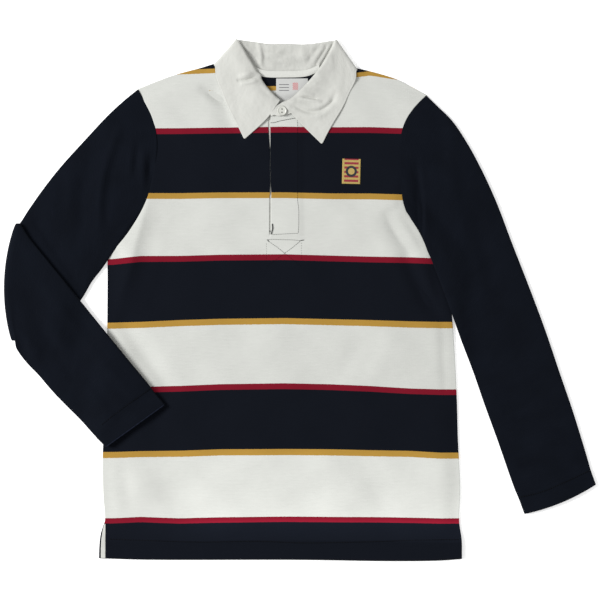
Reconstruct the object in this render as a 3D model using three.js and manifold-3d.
// Child's rugby shirt, laid flat on its back, with one long sleeve folded over the body.
// Millimetres, +Z up. The origin is on the table, under the middle of the shirt's box.
// Left and right mean the viewer's, looking down on the front with the collar away from the viewer.

import * as THREE from "three";
import { mergeVertices } from "three/addons/utils/BufferGeometryUtils.js";
import Module from "manifold-3d";

const wasm = await Module();
wasm.setup();

// Driving sizes
const CLOTH = 1.2; // wall of the heavy jersey
const TWILL = 1.3; // wall of the collar
const SEAM_GAP = 0.3; // between sewn pieces, and between layers that lie on each other
const CROWN = 2.2; // how far the front swells over the back
const SWELL_RUN = 14; // the swell is mostly there this far in from an edge
const SLEEVE_SEAM = 0.55; // sideways gap at an armhole, so that its slanting ends are clear too
const DROOP_RUN = 24; // a sleeve comes down to the table over this run
const HEM_DEPTH = 19; // turned hem at the bottom
const STOPS = 12; // steps across a sleeve, from its outer edge to its inner one
const SLEEVE_TOP_ROUND = 0.75; // less is boxier
const SLEEVE_FLAT_ROUND = 0.42;
const ELBOW_HEIGHT = 5.5; // the folded sleeve's height at its crease
const CREASE_GAP = 0.4; // between the folded sleeve's two runs
const BACK_LEAF_TOP = 1.4; // the collar's back leaf lies under the back panel
const TAPE = 0.7; // neck tape and vent tape
const LABEL = 0.4;
const FACING = 0.9;
const LAP_RISE = 1.2; // the placket's upper side stands this much over the other
const LAP_RAMP = 3; // and comes down over this run
const BUTTON_DIAMETER = 10.8;
const BUTTON_HEIGHT = 2.1;
const PATCH = { x: 57, y: 141.3, width: 20, height: 27.6, turn: -0.025, thick: 0.9 };
const SLIT = { left: -34.3, right: -32.5, bottom: 74 };
const LAP = { left: -32.5, right: -0.6, bottom: 72.4 };

const NAVY = "#171a21";
const WHITE = "#dcddd8";
const SATIN = "#d8d6d4";
const RED = "#8f2a35";
const IVORY = "#e4e4dd";

// Outlines, each from its first named point to its last
const HEM = [
  { x: -213.4, y: -284 },
  { x: -170, y: -285 },
  { x: 0, y: -285.2 },
  { x: 100, y: -286.6 },
  { x: 155, y: -286 },
  { x: 178.8, y: -284.2 },
];
const RIGHT_SIDE = [
  { x: 178.8, y: -284.2 },
  { x: 178.5, y: -264 },
  { x: 175.8, y: -244 },
  { x: 176.9, y: -209 },
  { x: 174.4, y: -154 },
  { x: 173.2, y: -110 },
  { x: 170.5, y: -55 },
  { x: 167.6, y: -13 },
  { x: 163.5, y: 41.5 },
];
const RIGHT_ARMHOLE = [
  { x: 140.2, y: 225.3 },
  { x: 124.3, y: 208.8 },
  { x: 113.8, y: 186.8 },
  { x: 111.4, y: 153.8 },
  { x: 113.8, y: 114.2 },
  { x: 117.7, y: 98.8 },
  { x: 126, y: 87.8 },
  { x: 135.8, y: 76 },
];
const LEFT_ARMHOLE = [
  { x: -178.2, y: 231.9 },
  { x: -171.6, y: 219.8 },
  { x: -161.2, y: 197.8 },
  { x: -157.4, y: 170.3 },
  { x: -160.6, y: 142 },
  { x: -168.3, y: 110 },
  { x: -186.5, y: 76.8 },
  { x: -209.6, y: 48.2 },
];
const LEFT_SIDE = [
  { x: -211.3, y: 43.8 },
  { x: -211.4, y: 0 },
  { x: -212.9, y: -110 },
  { x: -216.6, y: -170 },
  { x: -216.2, y: -212 },
  { x: -213.8, y: -246 },
  { x: -213.4, y: -284 },
];
const LEFT_SHOULDER = [
  { x: -62.2, y: 263 },
  { x: -80, y: 260.5 },
  { x: -91.6, y: 254.6 },
  { x: -98.5, y: 256.6 },
  { x: -109.5, y: 255 },
  { x: -141.4, y: 246.2 },
  { x: -178.2, y: 231.9 },
];
const RIGHT_SHOULDER = [
  { x: 140.2, y: 225.3 },
  { x: 125.4, y: 233 },
  { x: 108.9, y: 241.8 },
  { x: 84.2, y: 249.8 },
  { x: 68.5, y: 252.6 },
  { x: 60.6, y: 249.4 },
  { x: 48, y: 257.5 },
  { x: 32.2, y: 262.8 },
];
const FRONT_NECK = [
  { x: 32.2, y: 262.8 },
  { x: 28, y: 248 },
  { x: 20, y: 232 },
  { x: 11.5, y: 215 },
  { x: -1, y: 205.5 },
  { x: -31, y: 205.5 },
  { x: -42, y: 211.5 },
  { x: -51, y: 226 },
  { x: -57.5, y: 244 },
  { x: -62.2, y: 263 },
];
const BACK_NECK = [
  { x: 32.2, y: 262.8 },
  { x: 26.5, y: 254.3 },
  { x: 10, y: 249.2 },
  { x: -16, y: 247.2 },
  { x: -42, y: 249.2 },
  { x: -57, y: 254.3 },
  { x: -62.2, y: 263 },
];
const BACK_FLAP = [
  { x: -214.2, y: -243 },
  { x: -218.8, y: -261.8 },
  { x: -221.3, y: -284.6 },
];

// Large folds of the cloth: a ridge where height is over 0, a trough where it is under
const FOLDS = [
  { fromX: -160, fromY: 101, toX: -197, toY: -18, width: 9, height: -1.1 },
  { fromX: -140, fromY: 88, toX: -170, toY: -4, width: 8, height: 0.7 },
  { fromX: 93, fromY: 97, toX: 154, toY: -9, width: 9, height: -1.1 },
  { fromX: 74, fromY: 78, toX: 122, toY: 2, width: 8, height: 0.6 },
  { fromX: 66, fromY: -44, toX: 44, toY: -86, width: 9, height: -0.7 },
  { fromX: -202, fromY: 188, toX: -210, toY: 70, width: 9, height: 0.8 },
  { fromX: -226, fromY: 168, toX: -232, toY: 90, width: 8, height: -0.8 },
  { fromX: 158, fromY: 160, toX: 150, toY: 84, width: 9, height: -1 },
  { fromX: 176, fromY: 150, toX: 186, toY: 60, width: 9, height: 0.7 },
  { fromX: 300, fromY: -168, toX: 240, toY: -160, width: 7, height: -0.7 },
];

// Sections of each sleeve. A is a point on its outer edge and B one on its inner edge.
// seam says how much the section keeps of the armhole's curve, and bow swells it to its own side.
const LEFT_UPPER = [
  { ax: -178.2, ay: 231.9, bx: -210.2, by: 49, height: 4.9, seam: 1, bow: 0 },
  { ax: -191, ay: 221.5, bx: -214, by: 41, height: 5.6, seam: 0.85, bow: 0 },
  { ax: -210, ay: 204, bx: -220, by: 32, height: 6.2, seam: 0.6, bow: 0 },
  { ax: -236, ay: 176, bx: -229, by: 20, height: 6.3, seam: 0.3, bow: 0 },
  { ax: -263, ay: 146, bx: -240, by: 1, height: 6, seam: 0.1, bow: 0 },
  { ax: -282.5, ay: 121, bx: -262, by: -25, height: 5.7, seam: 0, bow: -1 },
  { ax: -297.5, ay: 99.5, bx: -292, by: -40, height: 5.5, seam: 0, bow: -4 },
];
const LEFT_CREASE = { ax: -307.9, ay: 84, bx: -312.3, by: -45, seam: 0, bow: -9.3 };
const LEFT_LOWER = [
  { ax: -297, ay: 68, bx: -311, by: -53, height: 5.5, seam: 0, bow: -6 },
  { ax: -277, ay: 43, bx: -302, by: -67, height: 5.5, seam: 0, bow: -1 },
  { ax: -254, ay: 15, bx: -286.5, by: -83.5, height: 5.6, seam: 0, bow: 0 },
  { ax: -231, ay: -13.5, bx: -271.5, by: -101, height: 5.6, seam: 0, bow: 0 },
  { ax: -208.5, ay: -41, bx: -256.5, by: -116.5, height: 5.5, seam: 0, bow: 0 },
  { ax: -186, ay: -68.5, bx: -241, by: -132, height: 5.4, seam: 0, bow: 0 },
  { ax: -162.5, ay: -97.5, bx: -224, by: -150.5, height: 5.4, seam: 0, bow: 0 },
  { ax: -161, ay: -99.5, bx: -223, by: -152, height: 5.9, seam: 0, bow: 0, hem: true },
  { ax: -148, ay: -115.2, bx: -212.9, by: -161.9, height: 5.9, seam: 0, bow: 0, hem: true },
];
const RIGHT_SLEEVE = [
  { ax: 140.2, ay: 225.3, bx: 135.8, by: 76, height: 4.9, seam: 1, bow: 0 },
  { ax: 152, ay: 213.5, bx: 138, by: 66, height: 5.6, seam: 0.85, bow: 0 },
  { ax: 168, ay: 197.5, bx: 141, by: 55, height: 6.2, seam: 0.6, bow: 0 },
  { ax: 185, ay: 172, bx: 145.5, by: 44, height: 6.4, seam: 0.35, bow: 0 },
  { ax: 200, ay: 144, bx: 151, by: 29.5, height: 6.3, seam: 0.15, bow: 0 },
  { ax: 216, ay: 109, bx: 157.5, by: 12, height: 6.1, seam: 0, bow: 0 },
  { ax: 234, ay: 62, bx: 167, by: -14, height: 5.9, seam: 0, bow: 0 },
  { ax: 252, ay: 16, bx: 178, by: -45, height: 5.8, seam: 0, bow: 0 },
  { ax: 270, ay: -32, bx: 191, by: -79, height: 5.7, seam: 0, bow: 0 },
  { ax: 287, ay: -82, bx: 203.5, by: -115, height: 5.6, seam: 0, bow: 0 },
  { ax: 302, ay: -126, bx: 217, by: -152, height: 5.6, seam: 0, bow: 0 },
  { ax: 320, ay: -186, bx: 239, by: -213.5, height: 5.5, seam: 0, bow: 2.4 },
  { ax: 320.8, ay: -187.8, bx: 240, by: -216, height: 6, seam: 0, bow: 2.5, hem: true },
  { ax: 326.2, ay: -203.3, bx: 247.5, by: -235.8, height: 6, seam: 0, bow: 3.9, hem: true },
];

// Sections of the collar, from its left front end round the neck to its right front end.
// base is where the stand is sewn, roll is where the collar turns over, edge is the leaf's free edge.
// standZ and leafZ are the heights of the two layers at the roll line. The two rows with a side
// are where the collar wraps over the end of a shoulder.
const COLLAR = [
  { base: [-27, 209, 4.3], roll: [-21, 219.3], standZ: 5, leafZ: 7, edge: [-59.6, 178.8, 5.9] },
  { base: [-38.5, 212.5, 4.3], roll: [-28, 225.8], standZ: 5, leafZ: 7, edge: [-66.5, 187.5, 5.9] },
  { base: [-47.5, 223, 4.3], roll: [-36, 235], standZ: 5.1, leafZ: 7.1, edge: [-72.3, 197.5, 5.9] },
  { base: [-54, 237.5, 4.3], roll: [-43.2, 246], standZ: 5.2, leafZ: 7.2, edge: [-78.2, 211.5, 5.9] },
  { base: [-58.5, 250, 4.3], roll: [-50.4, 260.5], standZ: 5.2, leafZ: 7.2, edge: [-85.2, 228.5, 5.9] },
  { base: [-61, 259, 4.3], roll: [-59.5, 276], standZ: 5.1, leafZ: 7, edge: [-91, 245.5, 5.8] },
  { base: [-61.5, 264.8], roll: [-68.9, 286.2], edge: [-94.3, 258.4], side: 1 },
  { base: [-58, 257.5, 2.5], roll: [-61.5, 284.8], standZ: 2.5, leafZ: 0.7, edge: [-84, 244, 0.7] },
  { base: [-50, 253.5, 2.5], roll: [-50, 283.3], standZ: 2.5, leafZ: 0.7, edge: [-64, 236.5, 0.7] },
  { base: [-34, 249.5, 2.5], roll: [-33.6, 281.2], standZ: 2.5, leafZ: 0.7, edge: [-41, 233, 0.7] },
  { base: [-16, 248.3, 2.5], roll: [-15, 281.5], standZ: 2.5, leafZ: 0.7, edge: [-16, 232, 0.7] },
  { base: [3, 249.5, 2.5], roll: [4, 280.7], standZ: 2.5, leafZ: 0.7, edge: [8, 233, 0.7] },
  { base: [18, 253.3, 2.5], roll: [20.4, 282.2], standZ: 2.5, leafZ: 0.7, edge: [33, 236.5, 0.7] },
  { base: [27.4, 258.4, 2.5], roll: [32.5, 284.2], standZ: 2.5, leafZ: 0.7, edge: [53, 242, 0.7] },
  { base: [31.5, 264.6], roll: [40, 285.2], edge: [63.2, 253.3], side: -1 },
  { base: [29.2, 259.2, 4.3], roll: [31.4, 274.2], standZ: 5.1, leafZ: 7, edge: [61.5, 242.5, 5.8] },
  { base: [26, 247.8, 4.3], roll: [22, 255.4], standZ: 5.2, leafZ: 7.2, edge: [56.2, 228, 5.9] },
  { base: [18.4, 234.4, 4.3], roll: [11.6, 242.2], standZ: 5.2, leafZ: 7.2, edge: [48.4, 212, 5.9] },
  { base: [9.8, 220, 4.4], roll: [1.6, 231.9], standZ: 5.1, leafZ: 7.1, edge: [40.7, 195.6, 5.9] },
  { base: [0.4, 211.8, 5], roll: [-8.8, 222.5], standZ: 5.2, leafZ: 7.1, edge: [31.4, 182.4, 5.9] },
  { base: [-9, 208.5, 5.2], roll: [-16.5, 218.1], standZ: 5.3, leafZ: 7.1, edge: [24.2, 172.5, 5.9] },
];
const LEFT_FRONT_FOLD = [-35, 203.4]; // where the left front end of the leaf bends
// Where the collar wraps over a shoulder, each part of it goes from its height under to that over
const WRAP_STAND = { under: 2.5, over: 5 };
const WRAP_LEAF = { under: 0.7, over: 6.6 };
const WRAP_BASE_OVER = 4.2;
const WRAP_EDGE_OVER = 5.7;
const WRAP_EDGE_SHARE = 0.7; // how far the leaf's edge goes in, next to its roll line
const WRAP_STEPS = 6;
const UNDER_BACK_Z = WRAP_LEAF.under;
const COLLAR_TAB = [
  { x: -18.2, y: 216 },
  { x: -24.4, y: 212 },
  { x: -28.8, y: 206.8 },
  { x: -30, y: 201.8 },
  { x: -20.5, y: 203.2 },
  { x: -7.5, y: 205.2 },
];
const TAB_BOTTOM = 6.4;

// Small flat pieces, as boxes in plan
const LABEL_BOX = { left: -25.6, right: 9.3, bottom: 216.4, top: 243.6 };
const FACING_BOX = { left: -34, right: -2.5, bottom: 76, top: 203.5 };
const VENT_TAPE_BOX = { left: -217.6, right: -214.1, bottom: -284.2, top: -252 };
const VENT_TAPE_LEAN = 1.6; // its foot stands this much further out
const NECK_TAPE_WIDTH = 7.4;
const NECK_TAPE_STEPS = 12;
const NECK_TAPE_LINE = [
  { x: -50, y: 253.4 },
  { x: -40, y: 249.2 },
  { x: -15, y: 248.2 },
  { x: 8, y: 249.6 },
  { x: 22, y: 255 },
];
const BUTTON_PLACE = { x: -19.2, y: 207.8 };
const BUTTON_HOLE = { diameter: 1.6, apart: 3.6, sides: 12 };
const BUTTON_SIDES = 28;
// The button's turned outline from the middle of its back: how far in from the rim, and how high
const BUTTON_RIM = [
  { inside: 0.8, z: 0 },
  { inside: 0, z: 0.8 },
  { inside: 0, z: 1.4 },
  { inside: 0.7, z: BUTTON_HEIGHT },
  { inside: 2, z: BUTTON_HEIGHT - 0.5 },
];
const BUTTON_DISH = 0.7;

const clamp01 = (t) => Math.min(1, Math.max(0, t));
const smooth = (t) => clamp01(t) ** 2 * (3 - 2 * clamp01(t));
const mix = (a, b, t) => a + (b - a) * t;

/** n + 1 points along a smooth curve through the rows, at equal steps of its length. */
function curvePoints(rows, n) {
  const curve = new THREE.CatmullRomCurve3(rows.map((r) => new THREE.Vector3(r.x, r.y, 0)));
  return curve.getSpacedPoints(n);
}

/** Distance from a point to a line of points. */
function distanceTo(line, x, y) {
  let best = Infinity;
  for (let i = 1; i < line.length; i += 1) {
    const a = line[i - 1];
    const dx = line[i].x - a.x;
    const dy = line[i].y - a.y;
    const t = clamp01(((x - a.x) * dx + (y - a.y) * dy) / (dx * dx + dy * dy || 1));
    best = Math.min(best, Math.hypot(x - a.x - t * dx, y - a.y - t * dy));
  }
  return best;
}

/** Distance from a point to a closed outline, 0 inside it. */
function distanceOutside(outline, x, y) {
  let inside = false;
  for (let i = 0, j = outline.length - 1; i < outline.length; j = i, i += 1) {
    const a = outline[i];
    const b = outline[j];
    const crosses = a.y > y !== b.y > y;
    if (crosses && x < ((b.x - a.x) * (y - a.y)) / (b.y - a.y) + a.x) inside = !inside;
  }
  return inside ? 0 : distanceTo([...outline, outline[0]], x, y);
}

/** Sum of the large folds at a point: each is a bell across its line that fades at its ends. */
function foldHeight(x, y) {
  let sum = 0;
  for (const fold of FOLDS) {
    const dx = fold.toX - fold.fromX;
    const dy = fold.toY - fold.fromY;
    const long = Math.hypot(dx, dy);
    const along = ((x - fold.fromX) * dx + (y - fold.fromY) * dy) / long;
    const across = ((x - fold.fromX) * dy - (y - fold.fromY) * dx) / long;
    const past = Math.max(0, -along, along - long) / fold.width;
    sum += fold.height * Math.exp(-((across / fold.width) ** 2) - past ** 2);
  }
  return sum;
}

/** Stops across a sleeve, closer together near its two edges. */
const acrossStop = (k) => 0.5 - 0.5 * Math.cos((Math.PI * k) / STOPS);

/** Points of an armhole at the sleeve's own stops, so that body and sleeve meet all along. */
function armholePoints(rows) {
  const curve = new THREE.CatmullRomCurve3(rows.map((r) => new THREE.Vector3(r.x, r.y, 0)));
  return Array.from({ length: STOPS + 1 }, (_, k) => curve.getPointAt(acrossStop(k)));
}

const leftArmhole = armholePoints(LEFT_ARMHOLE);
const rightArmhole = armholePoints(RIGHT_ARMHOLE);

const upToUnderarm = [...HEM, ...RIGHT_SIDE.slice(1)];
const overShoulders = (neck) => [
  ...[...rightArmhole].reverse(),
  ...RIGHT_SHOULDER.slice(1),
  ...neck.slice(1),
  ...LEFT_SHOULDER.slice(1),
  ...leftArmhole.slice(1),
];
const FRONT_OUTLINE = [...upToUnderarm, ...overShoulders(FRONT_NECK), ...LEFT_SIDE.slice(0, -1)];
const BACK_HEM_DROP = 1.1; // the back is this much longer than the front
const BACK_OUTLINE = [
  ...upToUnderarm.map((p) => (p.y < -280 ? { x: p.x, y: p.y - BACK_HEM_DROP } : p)).slice(1),
  ...overShoulders(BACK_NECK),
  ...LEFT_SIDE.slice(0, -2),
  ...BACK_FLAP,
];
const leafUnderBack = COLLAR.filter((row) => row.leafZ === UNDER_BACK_Z);
const LIFTED = [
  { x: -96, y: 262 },
  ...leafUnderBack.map((row) => ({ x: row.edge[0], y: row.edge[1] })),
  { x: 65, y: 257 },
  { x: 40, y: 290 },
  { x: -69, y: 290 },
];
const NECK_LIFT_RUN = 9;
const NECK_LIFT_MARGIN = 4;
const NECK_CLEAR = 1.08; // the front is lifted by this share more than the back
const NECK_LINES = [219, 223, 227, 231, 238, 244, 250, 256]; // grid lines over that step

/** How far the panels are lifted by the collar's back leaf under them. */
function neckLift(x, y) {
  const away = distanceOutside(LIFTED, x, y);
  return (BACK_LEAF_TOP + SEAM_GAP) * smooth(1 - (away - NECK_LIFT_MARGIN) / NECK_LIFT_RUN);
}

const isHem = (y) => y < HEM[0].y + HEM_DEPTH;
const backLow = (x, y) => neckLift(x, y);
const backHigh = (x, y) => neckLift(x, y) + CLOTH * (isHem(y) ? 2 : 1);

/** How far into its swell the front is: 0 at its side seams and shoulders, 1 well inside. */
function frontSwell(x, y) {
  const edges = [LEFT_SIDE, RIGHT_SIDE, LEFT_SHOULDER, RIGHT_SHOULDER];
  const away = Math.min(...edges.map((line) => distanceTo(line, x, y)));
  return 1 - Math.exp(-((away / SWELL_RUN) ** 2));
}

/** Rise of the placket's upper side, which laps over its facing. */
function lapRise(x, y) {
  if (x < (SLIT.left + SLIT.right) / 2) return 0;
  return LAP_RISE * smooth(1 - (x - LAP.right) / LAP_RAMP) * smooth(1 - (LAP.bottom - y) / LAP_RAMP);
}

/** Height of the middle of the front's cloth. */
function frontMid(x, y) {
  const hemMid = 3 * CLOTH + SEAM_GAP;
  if (isHem(y)) return hemMid;
  const swell = frontSwell(x, y);
  const flat = 1.5 * CLOTH + SEAM_GAP + Math.max(CROWN * swell, NECK_CLEAR * neckLift(x, y));
  const nearHem = smooth(1 - (y - HEM[0].y - HEM_DEPTH) / SWELL_RUN);
  return mix(flat + swell * foldHeight(x, y) + lapRise(x, y), Math.max(flat, hemMid), nearHem);
}

const frontHalf = (y) => CLOTH * (isHem(y) ? 1 : 0.5);
const frontLow = (x, y) => frontMid(x, y) - frontHalf(y);
const frontHigh = (x, y) => frontMid(x, y) + frontHalf(y);

/** A geometry from points and triangles, turned the right way out. */
function closedGeometry(points, triangles) {
  const volume = triangles.reduce((sum, [a, b, c]) => {
    const cross = new THREE.Vector3().crossVectors(points[b], points[c]);
    return sum + points[a].dot(cross);
  }, 0);
  const index = triangles.flatMap(([a, b, c]) => (volume < 0 ? [a, c, b] : [a, b, c]));
  const geometry = new THREE.BufferGeometry();
  geometry.setAttribute("position", new THREE.Float32BufferAttribute(points.flatMap((p) => p.toArray()), 3));
  geometry.setIndex(index);
  return geometry;
}

/** A closed wall round two equal grids of points, its outer and its inner side. */
function wallBetween(outer, inner, around) {
  const rows = outer.length;
  const columns = outer[0].length;
  const points = [...outer.flat(), ...inner.flat()];
  const at = (side, i, j) => side * rows * columns + i * columns + (j % columns);
  const triangles = [];
  const quad = (a, b, c, d) => triangles.push([a, b, c], [a, c, d]);
  const lastColumn = around ? columns : columns - 1;
  for (let i = 0; i < rows - 1; i += 1) {
    for (let j = 0; j < lastColumn; j += 1) {
      quad(at(0, i, j), at(0, i + 1, j), at(0, i + 1, j + 1), at(0, i, j + 1));
      quad(at(1, i, j), at(1, i, j + 1), at(1, i + 1, j + 1), at(1, i + 1, j));
    }
  }
  for (let j = 0; j < lastColumn; j += 1) {
    quad(at(0, 0, j), at(0, 0, j + 1), at(1, 0, j + 1), at(1, 0, j));
    quad(at(0, rows - 1, j), at(1, rows - 1, j), at(1, rows - 1, j + 1), at(0, rows - 1, j + 1));
  }
  if (!around) {
    const end = columns - 1;
    for (let i = 0; i < rows - 1; i += 1) {
      quad(at(0, i, 0), at(1, i, 0), at(1, i + 1, 0), at(0, i + 1, 0));
      quad(at(0, i, end), at(0, i + 1, end), at(1, i + 1, end), at(1, i, end));
    }
  }
  return closedGeometry(points, triangles);
}

/** A closed wall round the middle surface of a grid, thick(i) apart along its normals. */
function wallOnGrid(grid, thick, around) {
  const rows = grid.length;
  const columns = grid[0].length;
  const clampRow = (i) => Math.min(rows - 1, Math.max(0, i));
  const clampColumn = (j) => (around ? (j + columns) % columns : Math.min(columns - 1, Math.max(0, j)));
  const side = (sign) =>
    grid.map((row, i) =>
      row.map((p, j) => {
        const along = grid[clampRow(i + 1)][j].clone().sub(grid[clampRow(i - 1)][j]);
        const across = row[clampColumn(j + 1)].clone().sub(row[clampColumn(j - 1)]);
        const normal = along.cross(across).normalize();
        return p.clone().addScaledVector(normal, (sign * thick(i)) / 2);
      }),
    );
  return wallBetween(side(1), side(-1), around);
}

/** The grid lines of a panel: even steps, with extra lines where the cloth steps up or down. */
function gridLines(from, to, steps, extra) {
  const even = Array.from({ length: steps + 1 }, (_, k) => mix(from, to, k / steps));
  const near = (to - from) / steps / 4;
  const kept = even.filter((v) => extra.every((e) => Math.abs(e - v) > near));
  return [...kept, ...extra].sort((a, b) => a - b);
}

/** A slab between two height functions over a rectangle of grid lines. */
function slab(xs, ys, low, high) {
  const layer = (height) => xs.map((x) => ys.map((y) => new THREE.Vector3(x, y, height(x, y))));
  return wallBetween(layer(high), layer(low), false);
}

function toSolid(geometry) {
  const bare = geometry.clone();
  bare.deleteAttribute("normal");
  bare.deleteAttribute("uv");
  const merged = mergeVertices(bare, 1e-5);
  const mesh = new wasm.Mesh({
    numProp: 3,
    vertProperties: new Float32Array(merged.attributes.position.array),
    triVerts: new Uint32Array(merged.index.array),
  });
  return new wasm.Manifold(mesh);
}

function fromSolid(solid) {
  const mesh = solid.getMesh();
  const geometry = new THREE.BufferGeometry();
  geometry.setAttribute("position", new THREE.BufferAttribute(new Float32Array(mesh.vertProperties), 3));
  geometry.setIndex(new THREE.BufferAttribute(new Uint32Array(mesh.triVerts), 1));
  return geometry;
}

/** An upright block over an outline. */
function block(outline, bottom, top) {
  const shape = new THREE.Shape(outline.map((p) => new THREE.Vector2(p.x, p.y)));
  const geometry = new THREE.ExtrudeGeometry(shape, { depth: top - bottom, bevelEnabled: false });
  return geometry.translate(0, 0, bottom);
}

// The rectangle that a panel is cut from reaches past the panel on each side
const CLOTH_LEFT = -230;
const CLOTH_RIGHT = 188;
const CLOTH_TOP = 272;
const FRONT_CLOTH = { bottom: -292, steps: 30 };
const BACK_CLOTH = { bottom: -295, steps: 22 };
const LAP_LINES = [SLIT.left, SLIT.right, LAP.right, LAP.right + LAP_RAMP];
const PANEL_X = gridLines(CLOTH_LEFT, CLOTH_RIGHT, 24, LAP_LINES);
const SLIT_TOP = 300; // over the neck
const HEM_STEP = 0.1; // the wall doubles over twice this run at the hem's line
const TALL = 60; // a cutter reaches this far over and under the cloth
const cutTo = (geometry, outline) => toSolid(geometry).intersect(toSolid(block(outline, -TALL, TALL)));

/** The front panel, slit down from the neck for the placket. */
function frontPanel() {
  const hemLine = HEM[0].y + HEM_DEPTH;
  const atHem = [hemLine - HEM_STEP, hemLine + HEM_STEP];
  const extra = [...atHem, LAP.bottom - LAP_RAMP, LAP.bottom, ...NECK_LINES];
  const ys = gridLines(FRONT_CLOTH.bottom, CLOTH_TOP, FRONT_CLOTH.steps, extra);
  const panel = cutTo(slab(PANEL_X, ys, frontLow, frontHigh), FRONT_OUTLINE);
  const slit = [
    { x: SLIT.left, y: SLIT.bottom },
    { x: SLIT.right, y: SLIT.bottom },
    { x: SLIT.right, y: SLIT_TOP },
    { x: SLIT.left, y: SLIT_TOP },
  ];
  return fromSolid(panel.subtract(toSolid(block(slit, -TALL, TALL))));
}

/** The back panel, flat on the table but for the neck, where it lies on the collar's leaf. */
function backPanel() {
  const hemLine = HEM[0].y + HEM_DEPTH;
  const extra = [hemLine - HEM_STEP, hemLine + HEM_STEP, ...NECK_LINES];
  const ys = gridLines(BACK_CLOTH.bottom, CLOTH_TOP, BACK_CLOTH.steps, extra);
  return fromSolid(cutTo(slab(PANEL_X, ys, backLow, backHigh), BACK_OUTLINE));
}

const wallOfRow = (row) => (row.hem ? 2 * CLOTH : CLOTH);

/** Half height of a sleeve's section, from -1 under it to 1 on top, round a flattened oval. */
function sectionHeight(angle, folded) {
  const s = Math.sin(angle);
  const top = mix(SLEEVE_TOP_ROUND, SLEEVE_FLAT_ROUND, folded);
  const under = mix(SLEEVE_FLAT_ROUND, SLEEVE_TOP_ROUND, folded);
  return s < 0 ? -((-s) ** under) : s ** top;
}

/**
 * One section of a sleeve: a closed ring of points over the line from A to B.
 * shift is the gap at the armhole, folded is 1 where the sleeve lies turned over, and
 * place(x, y, z) says where a point of the lying sleeve goes.
 */
function sleeveRing(row, armhole, shift, folded, place) {
  const first = armhole[0];
  const last = armhole[STOPS];
  const wall = wallOfRow(row);
  const wide = Math.hypot(row.bx - row.ax, row.by - row.ay);
  const ring = [];
  for (let k = 0; k < 2 * STOPS; k += 1) {
    const angle = (Math.PI * k) / STOPS;
    const stop = k <= STOPS ? k : 2 * STOPS - k;
    const inset = wall / 2 / wide;
    const q = mix(inset, 1 - inset, acrossStop(stop));
    const seamX = armhole[stop].x - mix(first.x, last.x, acrossStop(stop));
    const seamY = armhole[stop].y - mix(first.y, last.y, acrossStop(stop));
    const bow = row.bow * 4 * q * (1 - q);
    const x = mix(row.ax, row.bx, q) + row.seam * seamX + (bow * (row.ay - row.by)) / wide + shift;
    const y = mix(row.ay, row.by, q) + row.seam * seamY + (bow * (row.bx - row.ax)) / wide;
    const z = row.height / 2 + (row.height / 2 - wall / 2) * sectionHeight(angle, folded);
    ring.push(place(x, y, z));
  }
  return ring;
}

/** 1 on a lying sleeve's upper layer and 0 on its under layer, so that folds show on top only. */
const onTopLayer = (z, height) => smooth(4 * (z / height - 0.5));

/** How high a sleeve rides where it lies on what is under it, coming down to the table beyond. */
function rides(outline, height) {
  return (x, y) => height * smooth(1 - (distanceOutside(outline, x, y) - 1) / DROOP_RUN);
}

const BODY_TOP = 2 * CLOTH + CROWN + 2 * SEAM_GAP; // what lies on the front starts here
const HALF_TURN = 180;
const TURN_STEP = 30;
// The round end of the folded sleeve's crease, in plan, for what rides on it
const ELBOW_END = [
  { x: -332, y: 45 },
  { x: -332, y: -20 },
  { x: -318, y: -45 },
];

/** The left sleeve: down from the armhole, turned over at the crease, and back over the body. */
function leftSleeve() {
  const axis = ELBOW_HEIGHT + CREASE_GAP / 2;
  const upperEdge = LEFT_UPPER.map((row) => ({ x: row.ax, y: row.ay }));
  const innerEdge = LEFT_UPPER.map((row) => ({ x: row.bx, y: row.by })).reverse();
  const overElbow = [...upperEdge, { x: LEFT_CREASE.ax, y: LEFT_CREASE.ay }, ...ELBOW_END, ...innerEdge];
  const onSleeve = rides(overElbow, 2 * axis - ELBOW_HEIGHT);
  const onBody = rides(FRONT_OUTLINE, BODY_TOP);
  const upper = LEFT_UPPER.map((row) =>
    sleeveRing(row, leftArmhole, -SLEEVE_SEAM, 0, (x, y, z) => {
      const fold = foldHeight(x, y) * onTopLayer(z, row.height);
      return new THREE.Vector3(x, y, z + fold);
    }),
  );
  const turned = [];
  for (let turn = 0; turn <= HALF_TURN; turn += TURN_STEP) {
    const angle = THREE.MathUtils.degToRad(turn);
    const row = { ...LEFT_CREASE, height: ELBOW_HEIGHT };
    turned.push(
      sleeveRing(row, leftArmhole, 0, turn / HALF_TURN, (x, y, z) => {
        const out = z - axis;
        return new THREE.Vector3(x + out * Math.sin(angle), y, axis + out * Math.cos(angle));
      }),
    );
  }
  const lower = LEFT_LOWER.map((row) =>
    sleeveRing(row, leftArmhole, 0, 1, (x, y, z) => {
      const base = Math.max(onSleeve(x, y), onBody(x, y));
      return new THREE.Vector3(x, y, base + row.height - z);
    }),
  );
  const rows = [...LEFT_UPPER, ...turned.map(() => LEFT_CREASE), ...LEFT_LOWER];
  return wallOnGrid([...upper, ...turned, ...lower], (i) => wallOfRow(rows[i]), true);
}

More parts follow.
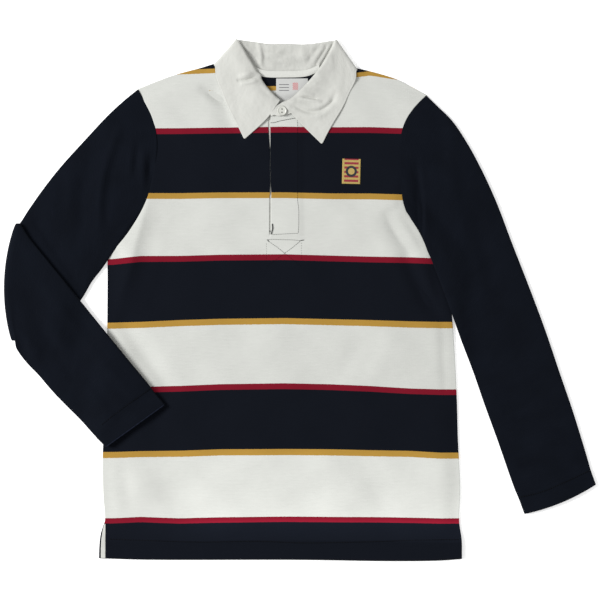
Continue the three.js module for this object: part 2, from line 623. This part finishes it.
/** The right sleeve, which lies out straight with its inner edge on the body's side. */
function rightSleeve() {
  const underarm = RIGHT_ARMHOLE[RIGHT_ARMHOLE.length - 2];
  const hemCorner = HEM[HEM.length - 1];
  const across = [{ x: 0, y: hemCorner.y }, { x: 0, y: underarm.y }, underarm];
  const onBody = rides([...across, ...[...RIGHT_SIDE].reverse()], BODY_TOP);
  const rings = RIGHT_SLEEVE.map((row) =>
    sleeveRing(row, rightArmhole, SLEEVE_SEAM, 0, (x, y, z) => {
      const fold = foldHeight(x, y) * onTopLayer(z, row.height);
      return new THREE.Vector3(x, y, onBody(x, y) + z + fold);
    }),
  );
  return wallOnGrid(rings, (i) => wallOfRow(RIGHT_SLEEVE[i]), true);
}

// Stops across the collar on the curve through its seven points, closer together round the roll line
const COLLAR_STOPS = [0, 0.6, 1.3, 2, 2.3, 2.65, 3, 3.35, 3.7, 4, 4.4, 4.8, 5.2, 5.6, 6];
const COLLAR_SPANS = 6;

/** One section across the collar: up the stand, round the roll line and down the leaf. */
function collarSection(row) {
  const base = new THREE.Vector3(...row.base);
  const edge = new THREE.Vector3(...row.edge);
  const roll = new THREE.Vector3(...row.roll, (row.standZ + row.leafZ) / 2);
  const radius = Math.max(Math.abs(row.leafZ - row.standZ) / 2, TWILL);
  const toRoll = roll.clone().sub(base).setZ(0).normalize();
  const toEdge = edge.clone().sub(roll).setZ(0).normalize();
  const before = roll.clone().addScaledVector(toRoll, -radius).setZ(row.standZ);
  const after = roll.clone().addScaledVector(toEdge, radius).setZ(row.leafZ);
  const leaf = after.clone().lerp(edge, 0.5);
  if (row === COLLAR[0]) leaf.set(...LEFT_FRONT_FOLD, leaf.z);
  const stand = base.clone().lerp(before, 0.5);
  const stops = [base, stand, before, roll, after, leaf, edge];
  const curve = new THREE.CatmullRomCurve3(stops, false, "centripetal");
  const points = COLLAR_STOPS.map((s) => curve.getPoint(s / COLLAR_SPANS));
  return points.map((p) => p.setZ(Math.max(p.z, TWILL / 2)));
}

/** The sections that turn the collar over at one side of the neck. */
function sideTurn({ base, roll, edge, side }) {
  const sections = [];
  for (let k = 0; k <= WRAP_STEPS; k += 1) {
    const angle = (Math.PI * k) / WRAP_STEPS;
    const over = (1 + side * Math.cos(angle)) / 2;
    const standIn = ((WRAP_STAND.over - WRAP_STAND.under) / 2) * (1 - Math.sin(angle));
    const leafIn = ((WRAP_LEAF.over - WRAP_LEAF.under) / 2) * (1 - Math.sin(angle)) * WRAP_EDGE_SHARE;
    sections.push({
      base: [base[0] + side * standIn, base[1] - standIn, mix(WRAP_STAND.under, WRAP_BASE_OVER, over)],
      roll: [roll[0] + side * standIn, roll[1] - standIn],
      standZ: mix(WRAP_STAND.under, WRAP_STAND.over, over),
      leafZ: mix(WRAP_LEAF.under, WRAP_LEAF.over, over),
      edge: [edge[0] + side * leafIn, edge[1] - leafIn, mix(WRAP_LEAF.under, WRAP_EDGE_OVER, over)],
    });
  }
  return sections;
}

function collar() {
  const sections = COLLAR.flatMap((row) => (row.side ? sideTurn(row) : [row]));
  return wallOnGrid(sections.map(collarSection), () => TWILL, false);
}

/** A strip or patch that lies on a panel: its points over the panel's top, moved out. */
function laidOn(top, toPlan, uSteps, vSteps, thick, gap) {
  const grid = [];
  for (let i = 0; i <= uSteps; i += 1) {
    const row = [];
    for (let j = 0; j <= vSteps; j += 1) {
      const p = toPlan(i / uSteps, j / vSteps);
      row.push(new THREE.Vector3(p.x, p.y, top(p.x, p.y) + gap + thick / 2));
    }
    grid.push(row);
  }
  return wallBetween(
    grid.map((row) => row.map((p) => p.clone().setZ(p.z + thick / 2))),
    grid.map((row) => row.map((p) => p.clone().setZ(p.z - thick / 2))),
    false,
  );
}

/** The embroidered patch on the chest, a little turned. */
function chestPatch() {
  const toPlan = (u, v) => {
    const across = (u - 0.5) * PATCH.width;
    const up = (v - 0.5) * PATCH.height;
    return {
      x: PATCH.x + across * Math.cos(PATCH.turn) - up * Math.sin(PATCH.turn),
      y: PATCH.y + across * Math.sin(PATCH.turn) + up * Math.cos(PATCH.turn),
    };
  };
  return laidOn(frontHigh, toPlan, 4, 6, PATCH.thick, SEAM_GAP);
}

function backLabel() {
  const lines = [LABEL_BOX.bottom, ...NECK_LINES.slice(0, 5), LABEL_BOX.top];
  const steps = lines.length - 1;
  const toPlan = (u, v) => ({ x: mix(LABEL_BOX.left, LABEL_BOX.right, u), y: lines[Math.round(v * steps)] });
  return laidOn(backHigh, toPlan, 3, steps, LABEL, SEAM_GAP);
}

/** The tape over the seam inside the back neck. */
function neckTape() {
  const line = curvePoints(NECK_TAPE_LINE, NECK_TAPE_STEPS);
  const toPlan = (u, v) => {
    const p = line[Math.round(u * NECK_TAPE_STEPS)];
    return { x: p.x, y: p.y + (v - 0.5) * NECK_TAPE_WIDTH };
  };
  const seamTop = () => WRAP_STAND.under + TWILL / 2;
  return laidOn(seamTop, toPlan, NECK_TAPE_STEPS, 2, TAPE, SEAM_GAP);
}

/** Where a point of a small piece's box lies, from its shares across and up. */
const inBox = (box, u, v) => ({ x: mix(box.left, box.right, u), y: mix(box.bottom, box.top, v) });

/** The tape down the left vent's edge, which leans out with the back's flap. */
function ventTape() {
  const toPlan = (u, v) => {
    const p = inBox(VENT_TAPE_BOX, u, v);
    return { x: p.x - VENT_TAPE_LEAN * (1 - v), y: p.y };
  };
  return laidOn(() => 2 * CLOTH, toPlan, 1, 4, TAPE, SEAM_GAP);
}

/** The facing under the placket, level with the front's lower side and a little narrower. */
function placketFacing() {
  const low = (x, y) => frontMid(SLIT.left - 1, y) - CLOTH / 2 + SEAM_GAP;
  return laidOn(low, (u, v) => inBox(FACING_BOX, u, v), 3, 12, FACING, 0);
}

/** A two-hole button: a turned disc with a dished face. */
function button() {
  const radius = BUTTON_DIAMETER / 2;
  const rim = BUTTON_RIM.map((p) => new THREE.Vector2(radius - p.inside, p.z));
  const profile = [new THREE.Vector2(0, 0), ...rim, new THREE.Vector2(0, BUTTON_HEIGHT - BUTTON_DISH)];
  const disc = new THREE.LatheGeometry(profile, BUTTON_SIDES).rotateX(Math.PI / 2);
  const bore = BUTTON_HOLE.diameter / 2;
  const holes = [-BUTTON_HOLE.apart / 2, BUTTON_HOLE.apart / 2].map((y) => {
    const hole = new THREE.CylinderGeometry(bore, bore, 3 * BUTTON_HEIGHT, BUTTON_HOLE.sides);
    return toSolid(hole.rotateX(Math.PI / 2).translate(0, y, 0));
  });
  return fromSolid(holes.reduce((solid, hole) => solid.subtract(hole), closedFromLathe(disc)));
}

/** A lathe's disc as a solid, turned right side out where its profile ran the other way. */
function closedFromLathe(geometry) {
  const bare = geometry.clone();
  bare.deleteAttribute("normal");
  bare.deleteAttribute("uv");
  const merged = mergeVertices(bare, 1e-4);
  const at = merged.attributes.position;
  const points = Array.from({ length: at.count }, (_, i) => new THREE.Vector3().fromBufferAttribute(at, i));
  const triangles = [];
  for (let i = 0; i < merged.index.count; i += 3) {
    const [a, b, c] = [0, 1, 2].map((k) => merged.index.getX(i + k));
    if (a !== b && b !== c && c !== a) triangles.push([a, b, c]);
  }
  return toSolid(closedGeometry(points, triangles));
}

const shirt = new THREE.Group();

function add(name, geometry, color, roughness, x = 0, y = 0, z = 0) {
  const material = new THREE.MeshStandardMaterial({ color, roughness, metalness: 0 });
  const mesh = new THREE.Mesh(geometry, material);
  mesh.name = name;
  mesh.position.set(x, y, z);
  shirt.add(mesh);
}

add("back_panel", backPanel(), NAVY, 0.9);
add("front_panel", frontPanel(), WHITE, 0.9);
add("sleeve_left", leftSleeve(), NAVY, 0.9);
add("sleeve_right", rightSleeve(), NAVY, 0.9);
add("collar", collar(), WHITE, 0.85);
add("collar_tab", block(COLLAR_TAB, TAB_BOTTOM, TAB_BOTTOM + TWILL), WHITE, 0.85);
add("placket_facing", placketFacing(), WHITE, 0.85);
add("neck_tape", neckTape(), WHITE, 0.85);
add("neck_label", backLabel(), SATIN, 0.6);
add("vent_tape_left", ventTape(), WHITE, 0.85);
add("chest_patch", chestPatch(), RED, 0.7);
const buttonBottom = TAB_BOTTOM + TWILL + SEAM_GAP;
add("collar_button", button(), IVORY, 0.35, BUTTON_PLACE.x, BUTTON_PLACE.y, buttonBottom);

export default shirt;
